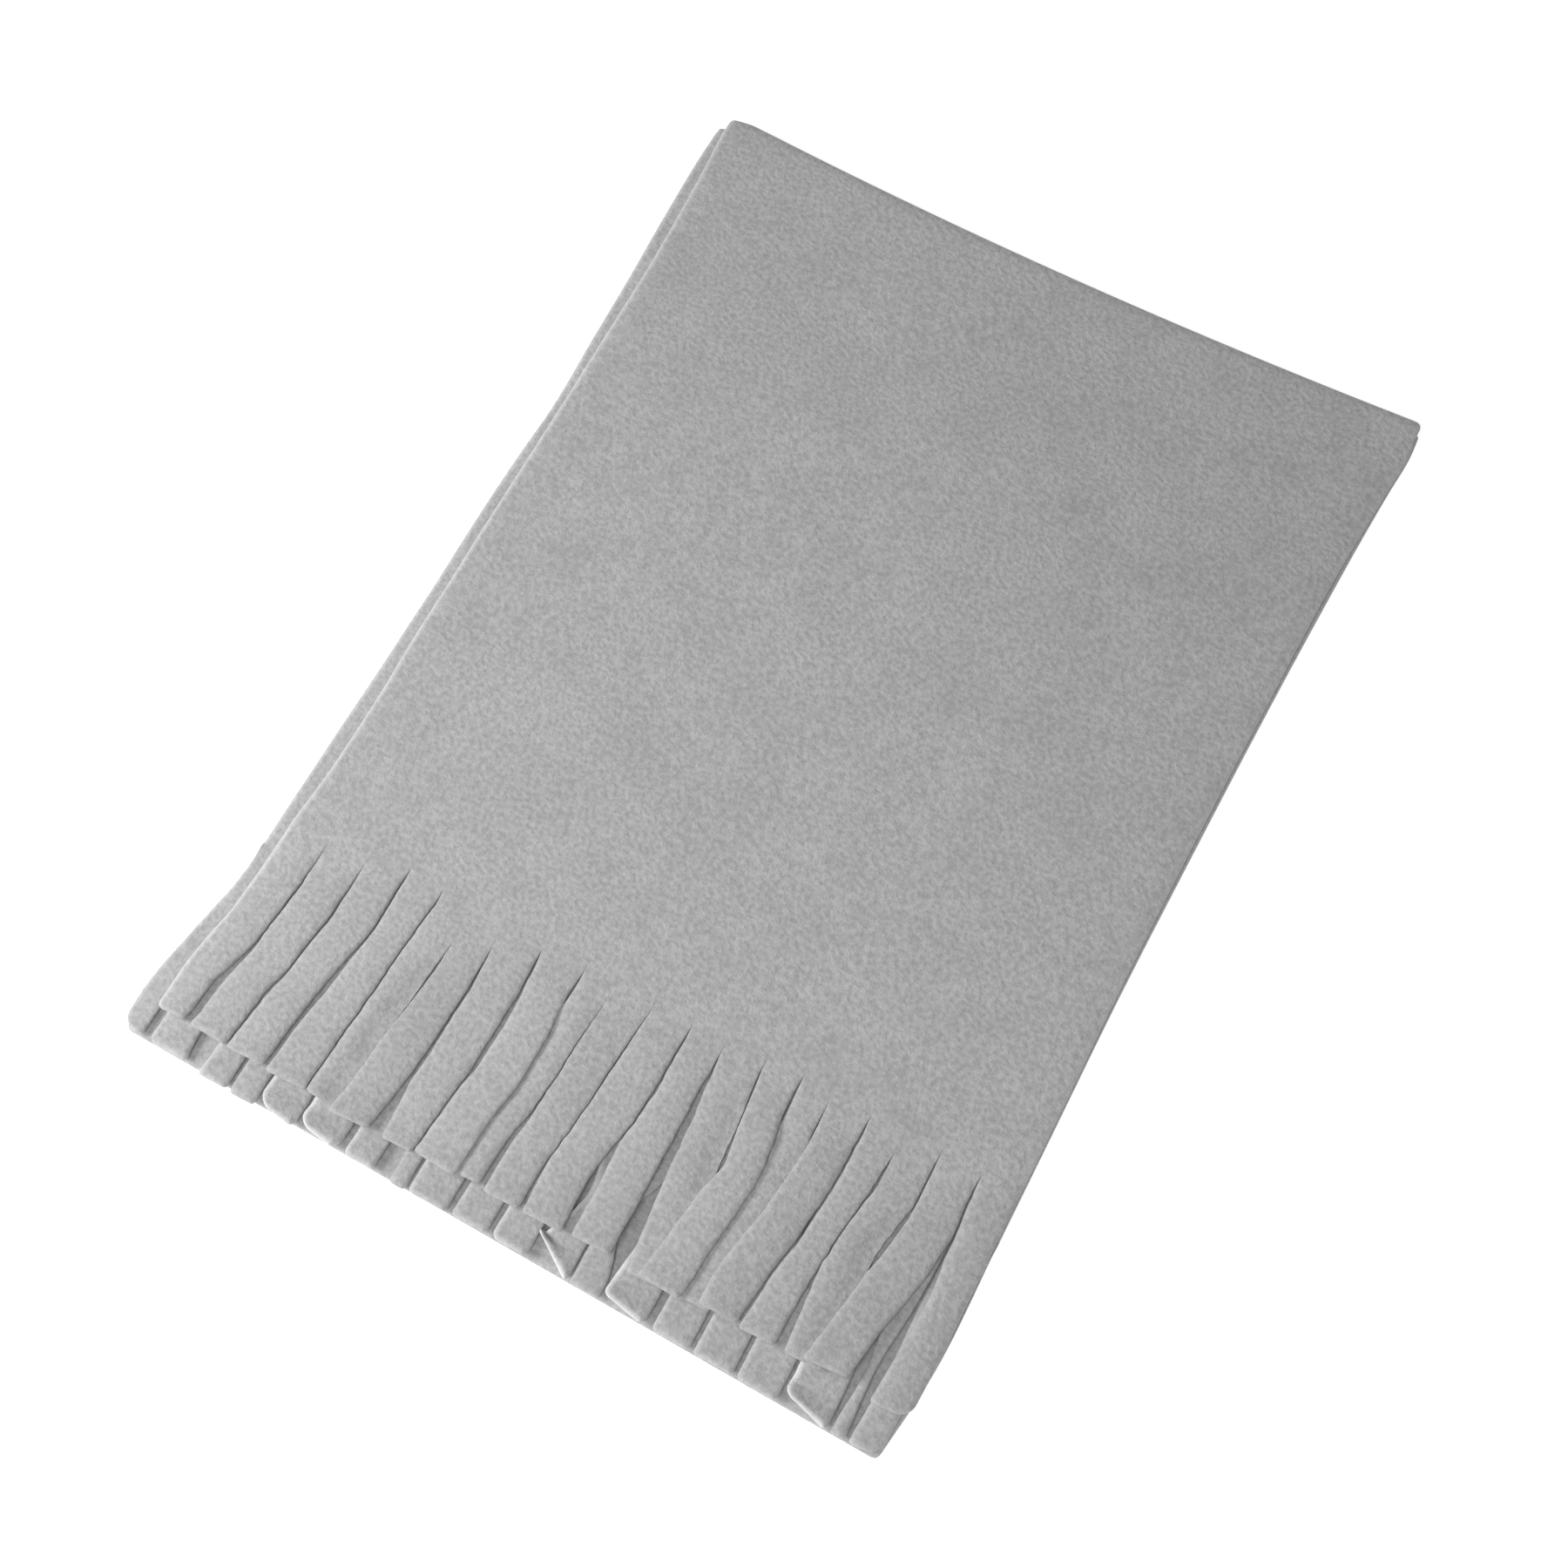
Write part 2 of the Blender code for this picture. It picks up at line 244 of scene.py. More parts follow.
class ThrowSettings(bpy.types.PropertyGroup):
    """Sizes and colours of the throw that a user may change."""

    fleece_colour: bpy.props.FloatVectorProperty(
        name="Fleece colour", description="Colour of the brushed fleece", subtype="COLOR",
        size=3, min=0.0, max=1.0, default=(0.372, 0.372, 0.375))
    # The cut edge colour: partly the cloth's paler inside, partly a painted highlight where cut
    # edges catch the light.
    core_and_highlight_colour: bpy.props.FloatVectorProperty(
        name="Cut edge colour", description="Colour of the cloth's core at a cut edge",
        subtype="COLOR", size=3, min=0.0, max=1.0, default=(0.72, 0.72, 0.71))
    nap_depth: bpy.props.FloatProperty(
        name="Nap depth", description="Height of the clumps of nap", unit="LENGTH",
        min=0.0, max=0.002, default=0.00024)
    clump_size: bpy.props.FloatProperty(
        name="Nap clump size", description="Width of one clump of nap", unit="LENGTH",
        min=0.0005, max=0.01, default=0.0019)
    swell: bpy.props.FloatProperty(
        name="Swell", description="How far the stack rises and dips where it lies unevenly",
        unit="LENGTH", min=0.0, max=0.003, default=0.0008)
    back_dip: bpy.props.FloatProperty(
        name="Back dip", description="How far the back folds curve in between their corners",
        unit="LENGTH", min=0.0, max=0.01, default=0.0044)
    floor_colour: bpy.props.FloatVectorProperty(
        name="Floor colour", description="Colour of the floor", subtype="COLOR",
        size=3, min=0.0, max=1.0, default=(0.93, 0.93, 0.93))


# ---------------------------------------------------------------- shape of the cloth

def smooth(t):
    """Smooth step from 0 to 1."""
    t = np.clip(t, 0.0, 1.0)
    return t * t * (3.0 - 2.0 * t)


def through(points, at):
    """A smooth line through (place, value) points, read at one place or at many."""
    places = np.array([p[0] for p in points], float)
    values = np.array([p[1] for p in points], float)
    slopes = np.gradient(values, places)
    at = np.clip(np.atleast_1d(np.asarray(at, float)), places[0], places[-1])
    index = np.clip(np.searchsorted(places, at, side="right") - 1, 0, len(places) - 2)
    span = places[index + 1] - places[index]
    t = (at - places[index]) / span
    return ((2 * t**3 - 3 * t**2 + 1) * values[index] + (t**3 - 2 * t**2 + t) * span * slopes[index]
            + (3 * t**2 - 2 * t**3) * values[index + 1]
            + (t**3 - t**2) * span * slopes[index + 1])


def edge_x(points, y):
    """X of a long edge at y."""
    from_back = (BACK_END - np.asarray(y, float)) / MM
    return CLOTH_LEFT + through(points, from_back) * MM


def swell_height(x, y, swell):
    """How far the top of the stack rises or dips at one place on it."""
    broad = noise.noise(Vector((x * 14.0, y * 11.0, 3.7)))
    fine = noise.noise(Vector((x * 42.0, y * 36.0, 9.1)))
    crease = math.exp(-((x + 0.125) / 0.035) ** 2 - ((y + 0.036) / 0.012) ** 2)
    side = (x - CLOTH_LEFT - CLOTH_WIDTH / 2) / (CLOTH_WIDTH / 2)
    droop = 0.9 * max(0.0, abs(side) - 0.94) / 0.06
    return swell * (0.8 * broad + 0.35 * fine + 0.7 * crease - droop)


def stack_height(x, y, swell):
    """Height of the soft stack at one place, as a share of the flat one's.

    It is the same all along the back hinge.
    """
    fall = BACK_FALL * float(smooth((y - FALL_START) / (BACK_AXIS.y - FALL_START)))
    uneven = 1.0 - float(smooth((y - BACK_AXIS.y + CALM_REACH) / (0.8 * CALM_REACH)))
    return 1.0 + (swell_height(x, y, swell) * uneven - fall) / STACK_HEIGHT


def settle(points, settings, back_reach=0.0):
    """Lay the ideal flat cloth down as soft cloth lies, with swells, dips and curved ends.

    back_reach, from 0 to 1, is how much a back fold flares out towards its two corners.
    """
    for point in points:
        x, y, z = point
        side = (x - CLOTH_LEFT - CLOTH_WIDTH / 2) / (CLOTH_WIDTH / 2)
        flare = settings.back_dip * (side * side + 0.18 - 0.27 * side)
        flare -= LEFT_CORNER * float(smooth((-side - 0.95) / 0.06))
        point[1] = y + back_reach * flare * float(smooth((y - BACK_AXIS.y) / FLARE_START))
        point[2] = z * stack_height(x, y, settings.swell)
    return points


def rim_profile(distance, blunt):
    """Share of the thickness left at a distance in from a cut edge."""
    t = np.clip(distance / RIM_RADIUS, 0.0, 1.0)
    return blunt + (1.0 - blunt) * np.sqrt(1.0 - (1.0 - t) ** 2)


def places_across(width):
    """Where the points of each row lie across it, close together near its two cut edges."""
    rim = [c * MM for c in RIM_COLUMNS]
    middle = max(3, round((float(np.mean(width)) - 2 * rim[-1]) / MESH_STEP))
    inner = np.linspace(0.0, 1.0, middle + 1)[1:-1]
    across = []
    for w in width:
        scale = min(1.0, RIM_SHARE * w / rim[-1])
        near = [c * scale for c in rim]
        span = w - 2 * near[-1]
        across.append(near + [near[-1] + t * span for t in inner] + [w - c for c in reversed(near)])
    return np.array(across)


def panel_faces(rows, columns):
    """The faces of a closed panel whose upper points come first and lower points second."""
    def at(row, column, under=False):
        return row * columns + column + (rows * columns if under else 0)

    faces = []
    for r in range(rows - 1):
        for c in range(columns - 1):
            faces.append((at(r, c), at(r, c + 1), at(r + 1, c + 1), at(r + 1, c)))
            faces.append((at(r, c, True), at(r + 1, c, True), at(r + 1, c + 1, True),
                          at(r, c + 1, True)))
        last = columns - 1
        faces.append((at(r, 0), at(r + 1, 0), at(r + 1, 0, True), at(r, 0, True)))
        faces.append((at(r, last), at(r, last, True), at(r + 1, last, True), at(r + 1, last)))
    for c in range(columns - 1):
        end = rows - 1
        faces.append((at(0, c), at(0, c, True), at(0, c + 1, True), at(0, c + 1)))
        faces.append((at(end, c), at(end, c + 1), at(end, c + 1, True), at(end, c, True)))
    return faces


def cloth_panel(name, path, normals, left, right, material, settings, cut_end=False,
                lift_left=None, lift_right=None, slant=None, opening=None, crown=None,
                corners=(0.0, 0.0), pressed=None, core_and_highlight=PLY_CORE_AND_HIGHLIGHT, back_reach=0.0):
    """A soft, closed piece of cloth.

    path holds the (y, z) places of its rows, normals their upward directions in the same
    plane, and left and right its edges' x on each row. A cut end is rounded like the sides.
    core is how far the cloth's paler inside, with a painted highlight, shows along the left edge,
    the right edge and the tip.
    """
    rows = len(path)
    steps = np.hypot(*np.diff(path, axis=0).T)
    along = np.concatenate([[0.0], np.cumsum(steps)])
    left = left + corner_inset(along[-1] - along, corners[0])
    right = right - corner_inset(along[-1] - along, corners[1])
    width = right - left
    across = places_across(width)
    from_side = np.minimum(across, width[:, None] - across)
    if opening is None:
        opening = (np.ones(rows), np.ones(rows))
    opened = np.where(across < width[:, None] / 2, opening[0][:, None], opening[1][:, None])
    share = rim_profile(from_side, 1.0 - (1.0 - RIM_BLUNT) * opened)
    nearest = from_side.copy()
    if cut_end:
        share = share * rim_profile(along[-1] - along, RIM_BLUNT)[:, None]
        nearest = np.minimum(nearest, (along[-1] - along)[:, None])
    half = THICKNESS / 2 * share
    t = across / width[:, None]
    raise_by = np.zeros_like(across)
    if lift_left is not None:
        raise_by = lift_left[:, None] * (1 - t) + lift_right[:, None] * t
        raise_by = raise_by + crown[:, None] * (1 - (2 * t - 1) ** 2)
    if pressed is not None:
        reach = [1.0 - smooth((d - 0.6 * PRESSED_REACH) / (0.4 * PRESSED_REACH))
                 for d in (across, width[:, None] - across)]
        lost = (1.0 - PRESSED_SHARE) * np.maximum(pressed[0][:, None] * reach[0],
                                                  pressed[1][:, None] * reach[1])
        raise_by = raise_by - half * lost
        half = half * (1.0 - lost)
    shift = np.zeros_like(across)
    if slant is not None:
        reach = smooth((along - along[-1] + SLANT_REACH) / SLANT_REACH)[:, None]
        shift = (slant * (t - 0.5) + abs(slant) / 2) * reach
    x = left[:, None] + across
    sides = []
    for sign in (1.0, -1.0):
        offset = sign * half + raise_by
        y = path[:, 0:1] + normals[:, 0:1] * offset + shift
        z = path[:, 1:2] + normals[:, 1:2] * offset
        sides.append(np.stack([x, y + np.zeros_like(x), z], axis=-1).reshape(-1, 3))
    points = settle(np.concatenate(sides), settings, back_reach)

    mesh = bpy.data.meshes.new(name)
    mesh.from_pydata([tuple(p) for p in points], [], panel_faces(*across.shape))
    # The pale cut edge: partly the cloth's paler inside, partly a painted highlight, stronger on
    # the sides that face the light.
    side_core_and_highlight = np.where(across < width[:, None] / 2, core_and_highlight[0], core_and_highlight[1])
    at_end = nearest < from_side
    cut = smooth(1.0 - nearest / PALE_EDGE_AND_HIGHLIGHT_REACH) * np.where(at_end, core_and_highlight[2], side_core_and_highlight)
    cut = cut * opened
    values = np.tile(cut.reshape(-1), 2).astype(np.float32)
    mesh.attributes.new("cut_edge_and_highlight", "FLOAT", "POINT").data.foreach_set("value", values)
    mesh.materials.append(material)
    mesh.validate()
    mesh.update()
    if mesh_volume(mesh) < 0:
        mesh.flip_normals()
    mesh.shade_smooth()
    mesh.set_sharp_from_angle(angle=SHARP_ANGLE)
    piece = bpy.data.objects.new(name, mesh)
    bpy.context.scene.collection.objects.link(piece)
    return piece


def mesh_volume(mesh):
    """Signed volume of a closed mesh, positive where its faces point outwards."""
    mesh.calc_loop_triangles()
    corners = np.zeros(len(mesh.vertices) * 3)
    mesh.vertices.foreach_get("co", corners)
    triangles = np.zeros(len(mesh.loop_triangles) * 3, dtype=int)
    mesh.loop_triangles.foreach_get("vertices", triangles)
    a, b, c = corners.reshape(-1, 3)[triangles.reshape(-1, 3)].transpose(1, 0, 2)
    return float(np.einsum("ij,ij->", a, np.cross(b, c))) / 6.0


def corner_inset(from_tip, radius):
    """How far a rounded corner draws an edge in, at each distance from the tip."""
    if radius <= 0:
        return np.zeros_like(from_tip)
    inside = np.clip(radius - from_tip, 0.0, radius)
    return radius - np.sqrt(np.maximum(radius * radius - inside * inside, 0.0))


def flat_rows(start_y, end_y, height, cut_end=False):
    """Rows of a flat piece, from its back to its front, closer together at a cut end."""
    length = abs(start_y - end_y)
    count = max(2, round(length / (STRIP_STEP if cut_end else MESH_STEP)))
    along = np.linspace(0.0, length, count + 1)
    if cut_end:
        rim = [length - c * MM for c in reversed(RIM_COLUMNS)]
        along = np.concatenate([along[along < rim[0] - 0.8 * MM], rim])
    path = np.stack([start_y - along, np.full(len(along), height)], axis=1)
    return path, np.tile([0.0, 1.0], (len(along), 1))


def fold_rows(centre_y, centre_z, radius, facing, steps):
    """Rows of a half roll around a fold's axis, from its upper end to its lower end."""
    turns = np.linspace(math.pi / 2, -math.pi / 2, steps + 1)
    normals = np.stack([facing * np.cos(turns), np.sin(turns)], axis=1)
    return np.array([centre_y, centre_z]) + radius * normals, normals


# ---------------------------------------------------------------- materials

def new_group(name, inputs, outputs):
    """An empty shader node group with named sockets."""
    group = bpy.data.node_groups.new(name, "ShaderNodeTree")
    for label, kind, value in inputs:
        socket = group.interface.new_socket(label, in_out="INPUT", socket_type=kind)
        if value is not None:
            socket.default_value = value
    for label, kind in outputs:
        group.interface.new_socket(label, in_out="OUTPUT", socket_type=kind)
    return group, group.nodes.new("NodeGroupInput"), group.nodes.new("NodeGroupOutput")


def maths(tree, operation, a, b=None):
    """A Math node fed by sockets or numbers. Returns its output socket."""
    node = tree.nodes.new("ShaderNodeMath")
    node.operation = operation
    for socket, value in zip(node.inputs, (a, b)):
        if isinstance(value, bpy.types.NodeSocket):
            tree.links.new(value, socket)
        elif value is not None:
            socket.default_value = value
    return node.outputs[0]


def noise_texture(tree, vector, scale, detail=2.0, roughness=0.5):
    """A Noise Texture node. Returns its factor socket."""
    node = tree.nodes.new("ShaderNodeTexNoise")
    node.inputs["Detail"].default_value = detail
    node.inputs["Roughness"].default_value = roughness
    tree.links.new(vector, node.inputs["Vector"])
    if isinstance(scale, bpy.types.NodeSocket):
        tree.links.new(scale, node.inputs["Scale"])
    else:
        node.inputs["Scale"].default_value = scale
    return node.outputs["Fac"]


def nap_group():
    """Brushed fleece: clumps of nap, the fibres on them, and a shade over them that is lighter on
    the clumps and darker in the hollows between them, as painted shade, with larger patches of
    random tone.
    """
    group, entry, leave = new_group(
        "fleece_nap",
        [("Vector", "NodeSocketVector", None), ("Clumps per metre", "NodeSocketFloat", 400.0)],
        [("Height", "NodeSocketFloat"), ("Shade", "NodeSocketFloat")])
    links = group.links
    brushed = group.nodes.new("ShaderNodeMapping")
    brushed.inputs["Scale"].default_value = (0.92, 1.10, 1.0)
    brushed.inputs["Rotation"].default_value = (0.0, 0.0, math.radians(-14))
    links.new(entry.outputs["Vector"], brushed.inputs["Vector"])
    vector = brushed.outputs["Vector"]
    per_metre = entry.outputs["Clumps per metre"]
    clumps = noise_texture(group, vector, per_metre, 1.0, 0.4)
    curls = noise_texture(group, vector, maths(group, "MULTIPLY", per_metre, 2.3), 2.0, 0.55)
    fibres = noise_texture(group, vector, maths(group, "MULTIPLY", per_metre, 6.0), 2.0, 0.6)
    patches = noise_texture(group, vector, 55.0, 2.0)
    height = maths(group, "ADD", maths(group, "MULTIPLY", clumps, 0.62),
                   maths(group, "MULTIPLY", curls, 0.28))
    height = maths(group, "ADD", height, maths(group, "MULTIPLY", fibres, 0.08))
    spread = maths(group, "MULTIPLY", maths(group, "SUBTRACT", height, 0.5), 2.8)
    calm = maths(group, "ADD", maths(group, "MULTIPLY", patches, 1.1), 0.45)
    links.new(maths(group, "MULTIPLY", spread, calm), leave.inputs["Height"])
    # The shade follows the nap's height: painted shade in the hollows between clumps, mixed with
    # larger patches of random tone.
    shade = maths(group, "ADD", maths(group, "MULTIPLY", clumps, 0.5),
                  maths(group, "MULTIPLY", curls, 0.3))
    shade = maths(group, "ADD", shade, maths(group, "MULTIPLY", patches, 0.2))
    links.new(shade, leave.inputs["Shade"])
    return group


def fleece_material(settings):
    """Light grey polar fleece: brushed nap, soft sheen, and where it is cut a paler inside with a
    painted highlight.
    """
    material = bpy.data.materials.new("brushed_fleece")
    material.use_nodes = True
    tree = material.node_tree
    shader = tree.nodes["Principled BSDF"]
    shader.inputs["Roughness"].default_value = 0.95
    shader.inputs["Specular IOR Level"].default_value = 0.15
    shader.inputs["Sheen Weight"].default_value = 0.35
    shader.inputs["Sheen Roughness"].default_value = 0.6
    place = tree.nodes.new("ShaderNodeTexCoord").outputs["Object"]
    nap = tree.nodes.new("ShaderNodeGroup")
    nap.node_tree = nap_group()
    nap.inputs["Clumps per metre"].default_value = 1.0 / settings.clump_size
    tree.links.new(place, nap.inputs["Vector"])

    # Tones from the nap's shade: darker hollows between clumps as painted shade, and random patches
    # of tone.
    tones = tree.nodes.new("ShaderNodeValToRGB")
    low, high = tones.color_ramp.elements
    low.position, high.position = 0.36, 0.64
    low.color = (*[0.82 * c for c in settings.fleece_colour], 1.0)
    high.color = (*[1.16 * c for c in settings.fleece_colour], 1.0)
    tree.links.new(nap.outputs["Shade"], tones.inputs["Fac"])

    # Cut edges mix towards a pale colour: the cloth's paler inside, and a painted highlight where
    # the edges catch the light.
    cut = tree.nodes.new("ShaderNodeAttribute")
    cut.attribute_name = "cut_edge_and_highlight"
    core_and_highlight = tree.nodes.new("ShaderNodeMix")
    core_and_highlight.data_type = "RGBA"
    core_and_highlight.inputs["B"].default_value = (*settings.core_and_highlight_colour, 1.0)
    tree.links.new(tones.outputs["Color"], core_and_highlight.inputs["A"])
    tree.links.new(maths(tree, "MULTIPLY", cut.outputs["Fac"], 0.9), core_and_highlight.inputs["Factor"])
    tree.links.new(core_and_highlight.outputs["Result"], shader.inputs["Base Color"])

    bump = tree.nodes.new("ShaderNodeBump")
    bump.inputs["Strength"].default_value = 1.0
    bump.inputs["Distance"].default_value = settings.nap_depth
    tree.links.new(nap.outputs["Height"], bump.inputs["Height"])
    tree.links.new(bump.outputs["Normal"], shader.inputs["Normal"])
    return material


def plain_material(name, colour, roughness, glow):
    """A plain matt surface that gives off a little light of its own."""
    material = bpy.data.materials.new(name)
    material.use_nodes = True
    shader = material.node_tree.nodes["Principled BSDF"]
    shader.inputs["Base Color"].default_value = (*colour, 1.0)
    shader.inputs["Roughness"].default_value = roughness
    shader.inputs["Specular IOR Level"].default_value = 0.1
    shader.inputs["Emission Color"].default_value = (1.0, 1.0, 1.0, 1.0)
    shader.inputs["Emission Strength"].default_value = glow
    return material


def fleece():
    """The one fleece that every piece is cut from."""
    made = bpy.data.materials.get("brushed_fleece")
    return made or fleece_material(bpy.context.scene.throw_settings)


def stand_for(node):
    """Hide a node of the frame, so that the soft piece built for it shows in its place."""
    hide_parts(node)


# ---------------------------------------------------------------- pieces

def make_flat_ply(node, start_y, end_y, left_points, right_points):
    """One flat ply, from its back fold to its front fold or to the roots of its fringe."""
    settings = bpy.context.scene.throw_settings
    path, normals = flat_rows(start_y, end_y, LEVELS[node])
    piece = cloth_panel(f"cloth_{node}", path, normals, edge_x(left_points, path[:, 0]),
                        edge_x(right_points, path[:, 0]), fleece(), settings)
    stand_for(node)
    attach(piece, body_of_node(node))
    return piece


def make_fold(node, centre_y, upper, lower, facing, edges, steps, back_reach=0.0):
    """A half roll of cloth between two plies, its edges running from one ply's to the other's."""
    settings = bpy.context.scene.throw_settings
    centre_z = (LEVELS[upper] + LEVELS[lower]) / 2
    radius = (LEVELS[upper] - LEVELS[lower]) / 2
    path, normals = fold_rows(centre_y, centre_z, radius, facing, steps)
    turn = np.linspace(0.0, 1.0, len(path))
    (upper_left, upper_right), (lower_left, lower_right) = edges
    left = edge_x(upper_left, centre_y) * (1 - turn) + edge_x(lower_left, centre_y) * turn
    right = edge_x(upper_right, centre_y) * (1 - turn) + edge_x(lower_right, centre_y) * turn
    draw_in = 0.55 * radius * (1.0 - np.sqrt(np.maximum(1.0 - np.sin(math.pi * turn) ** 2, 0.0)))
    left, right = left + draw_in, right - draw_in
    piece = cloth_panel(f"cloth_{node}", path, normals, left, right, fleece(), settings,
                        back_reach=back_reach)
    stand_for(node)
    return piece


def bent_line(stops, along, length):
    """A line that is straight between (along, value) stops and bends softly at each."""
    fine = np.linspace(-0.2, 1.2, 561)
    straight = np.interp(fine, [p[0] for p in stops], [p[1] for p in stops])
    reach = max(1, round(BEND_REACH / length / (fine[1] - fine[0])))
    weights = np.hanning(2 * reach + 3)[1:-1]
    weights /= weights.sum()
    soft = np.convolve(np.pad(straight, reach, mode="edge"), weights, mode="valid")
    held = smooth(along / HELD_ROOT) * smooth((1.0 - along) / HELD_TIP)
    return np.interp(along, fine, soft) * held + np.interp(along, fine, straight) * (1 - held)


def cut_wander(y, seed):
    """How a pair of scissors wanders off a straight cut, and how the cut frays."""
    slow = [noise.noise(Vector((v * 110.0, seed * 3.1, 0.5))) for v in y]
    quick = [noise.noise(Vector((v * 420.0, seed * 5.3, 7.5))) for v in y]
    return (0.35 * np.array(slow) + 0.22 * np.array(quick)) * MM


def lap_heights(number, edge, along, length):
    """How far one edge of a top strip rides up along it."""
    stops = [(at, height) for side, at, height in TOP_LAPS.get(number, ()) if side == edge]
    if not stops:
        return np.zeros_like(along)
    return bent_line([(0.0, 0.0), *stops], along, length) * smooth(along / 0.12) * MM


def slit_opening(slit, from_hinge):
    """How far a slit of the top fringe has opened, from 0 to 1, past the hinge line."""
    if not 1 <= slit <= len(TOP_SLITS):
        return np.ones_like(from_hinge)
    start, length, _ = TOP_SLITS[slit - 1]
    return smooth((from_hinge / MM - start) / length)


def cut_depth(slit, from_hinge):
    """How deep the groove at a slit is, from 0 to 1: shallow where the slit is a fine one."""
    if not 1 <= slit <= len(TOP_SLITS):
        return np.ones_like(from_hinge)
    fine = min(1.0, 0.15 + 0.95 * TOP_SLITS[slit - 1][2])
    start, length = WIDENING
    widened = smooth((from_hinge / MM - start) / length)
    return slit_opening(slit, from_hinge) * (fine + (1.0 - fine) * widened)


def clear_slits(left, right, along, lapped):
    """Keep each slit open between strips that don't lap, and closed where it starts."""
    for n in range(len(left) - 1):
        opened = slit_opening(n + 1, along * (TOP_ROOT.y - TOP_TIP_Y))
        slit = TOP_SLITS[n][2] * MM
        cut = (right[n] + left[n + 1]) / 2
        wander = cut_wander(along * WANDER_LENGTH, n + 1) * opened
        if (n + 1, n + 2) in lapped:
            right[n] = right[n] + wander
            left[n + 1] = left[n + 1] + cut_wander(along * WANDER_LENGTH, n + 61) * opened
            early = 1.0 - smooth((along - 0.08) / 0.2)
            right[n] = right[n] * (1 - early) + (cut - slit / 2 * opened) * early
            left[n + 1] = left[n + 1] * (1 - early) + (cut + slit / 2 * opened) * early
            continue
        gap = np.maximum((left[n + 1] - right[n]) * smooth(opened * 2.0), slit * opened)
        right[n], left[n + 1] = cut + wander - gap / 2, cut + wander + gap / 2


def pressing(number, edge, along):
    """How much one edge of a top strip is pressed down along it, from 0 to 1."""
    for side, start, full in TOP_PRESSED.get(number, ()):
        if side == edge:
            return smooth((along - start) / (full - start))
    return np.zeros_like(along)


def make_strip(node, path, normals, left, right, opening, lifts, crown, slant, corners, core_and_highlight,
               pressed=None):
    """One strip of a fringe, cut free along both sides and its tip."""
    settings = bpy.context.scene.throw_settings
    piece = cloth_panel(f"cloth_{node}", path, normals, left, right, fleece(), settings,
                        cut_end=True, lift_left=lifts[0], lift_right=lifts[1], slant=slant,
                        opening=opening, crown=crown, corners=corners, pressed=pressed,
                        core_and_highlight=core_and_highlight)
    stand_for(node)
    return piece


class THROW_OT_lower_half(bpy.types.Operator):
    """Build the two lower plies and the front fold that joins them"""

    bl_idname = "throw.lower_half"
    bl_label = "Lower plies"

    def execute(self, context):
        front_y = FRONT_AXIS_Y - FRONT_REACH
        make_flat_ply("bottom_ply", BACK_AXIS.y, front_y, BOTTOM_LEFT, BOTTOM_RIGHT)
        make_flat_ply("third_ply", BACK_AXIS.y, front_y, THIRD_LEFT, THIRD_RIGHT)
        edges = ((THIRD_LEFT, THIRD_RIGHT), (BOTTOM_LEFT, BOTTOM_RIGHT))
        fold = make_fold("front_fold", front_y, "third_ply", "bottom_ply", -1.0, edges, 10)
        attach(fold, "lower_half")
        return {"FINISHED"}


class THROW_OT_upper_half(bpy.types.Operator):
    """Build the two fringed plies"""

    bl_idname = "throw.upper_half"
    bl_label = "Upper plies"

    def execute(self, context):
        make_flat_ply("second_ply", BACK_AXIS.y, SECOND_ROOT_Y, SECOND_LEFT, SECOND_RIGHT)
        make_flat_ply("top_ply", BACK_AXIS.y, TOP_SLITS_Y, TOP_LEFT, TOP_RIGHT)
        return {"FINISHED"}


class THROW_OT_back_folds(bpy.types.Operator):
    """Build the two back folds between the upper and the lower plies"""

    bl_idname = "throw.back_folds"
    bl_label = "Back folds"

    def execute(self, context):
        folds = (("back_fold_outer", "top_ply", "bottom_ply", 18, 1.0,
                  ((TOP_LEFT, TOP_RIGHT), (BOTTOM_LEFT, BOTTOM_RIGHT))),
                 ("back_fold_inner", "second_ply", "third_ply", 10, 0.45,
                  ((SECOND_LEFT, SECOND_RIGHT), (THIRD_LEFT, THIRD_RIGHT))))
        height = stack_height(0.0, BACK_AXIS.y, context.scene.throw_settings.swell)
        for node, upper, lower, steps, back_reach, edges in folds:
            fold = make_fold(node, BACK_AXIS.y, upper, lower, 1.0, edges, steps, back_reach)
            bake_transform(fold)
        return {"FINISHED"}


